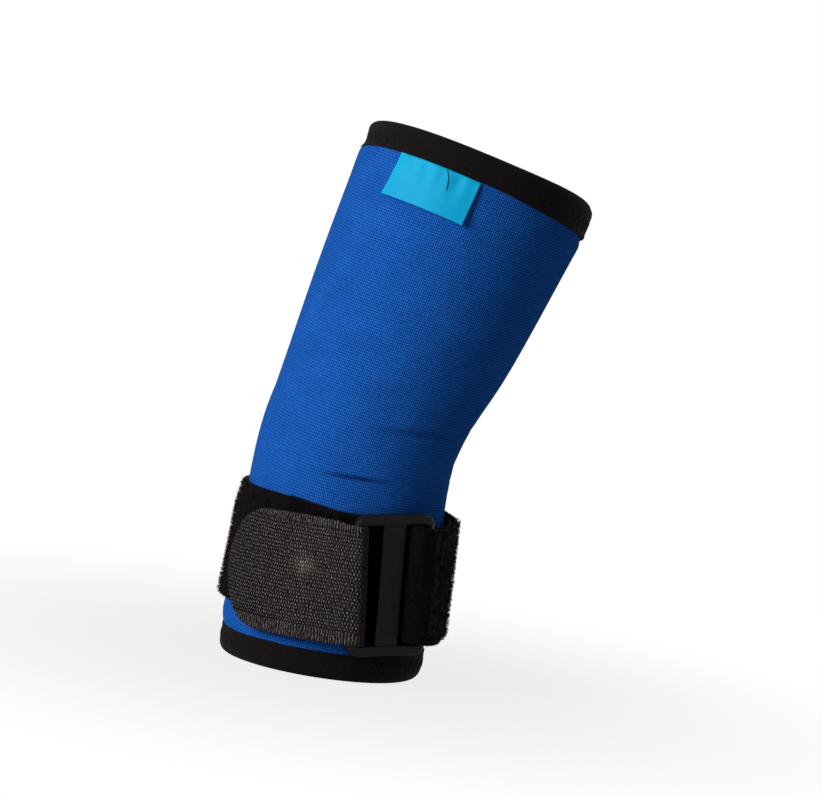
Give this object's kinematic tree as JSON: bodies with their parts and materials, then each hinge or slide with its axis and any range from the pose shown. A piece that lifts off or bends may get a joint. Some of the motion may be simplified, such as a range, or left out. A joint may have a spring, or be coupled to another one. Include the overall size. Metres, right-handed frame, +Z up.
{
  "type": "elbow support sleeve",
  "caption": "Bent neoprene elbow sleeve with bound ends, a blank flap label, and a forearm strap that feeds through a slide buckle and closes with a hook tab.",
  "frame": {"origin": "centre of the lower rim, on the plane the sleeve stands on", "axes": "+Z up along the forearm, +X the way the sleeve bends, -Y the side the buckle faces"},
  "size_m": [0.143, 0.1077, 0.2355],
  "materials": {
    "outer_jersey": "blue nylon jersey, fine courses",
    "foam": "closed-cell foam, hidden",
    "lining_jersey": "blue nylon jersey lining",
    "binding_tape": "black knitted tape",
    "thread": "black sewing thread",
    "label_satin": "light blue satin, blank",
    "loop_pile": "black loop pile",
    "buckle_plastic": "black moulded plastic, satin",
    "tab_tape": "dark grey woven tape back",
    "hook_tape": "black hook tape"
  },
  "bodies": {
    "forearm": {"forearm_jersey": "outer_jersey", "forearm_foam": "foam", "forearm_lining": "lining_jersey", "elbow_jersey": "outer_jersey", "elbow_foam": "foam", "elbow_lining": "lining_jersey", "lower_binding": "binding_tape", "lower_binding_thread": "thread", "forearm_seam_thread": "thread", "elbow_seam_thread": "thread", "strap": "loop_pile", "keeper_thread": "thread", "strap_anchor_thread": "thread"},
    "upper_arm": {"upper_jersey": "outer_jersey", "upper_foam": "foam", "upper_lining": "lining_jersey", "upper_binding": "binding_tape", "upper_binding_thread": "thread", "upper_seam_thread": "thread"},
    "label_flap": {"label": "label_satin"},
    "buckle_frame": {"buckle": "buckle_plastic"},
    "tab": {"closing_tab": "tab_tape", "hook_patch": "hook_tape", "hook_patch_thread": "thread"}
  },
  "joints": [
    {"name": "elbow_flex", "type": "hinge", "parent": "forearm", "child": "upper_arm", "pos_m": [0, 0, 0.09], "axis": [0, 1, 0], "range_deg": [-15, 35], "stiffness_Nm_per_rad": 0.6, "deforming": ["elbow_jersey", "elbow_foam", "elbow_lining", "elbow_seam_thread"]},
    {"name": "label_flip", "type": "hinge", "parent": "upper_arm", "child": "label_flap", "pos_m": [0.0001, -0.03378, 0.22056], "axis": [-0.6113, 0.766, 0.1986], "range_deg": [0, 90]},
    {"name": "buckle_swing", "type": "hinge", "parent": "forearm", "child": "buckle_frame", "pos_m": [0.01693, -0.04713, 0.04488], "axis": [-0.0872, 0, 0.9962], "range_deg": [0, 30]},
    {"name": "tab_peel", "type": "hinge", "parent": "buckle_frame", "child": "tab", "pos_m": [-0.01693, -0.04713, 0.04192], "axis": [-0.0872, 0, 0.9962], "range_deg": [0, 150]}
  ]
}
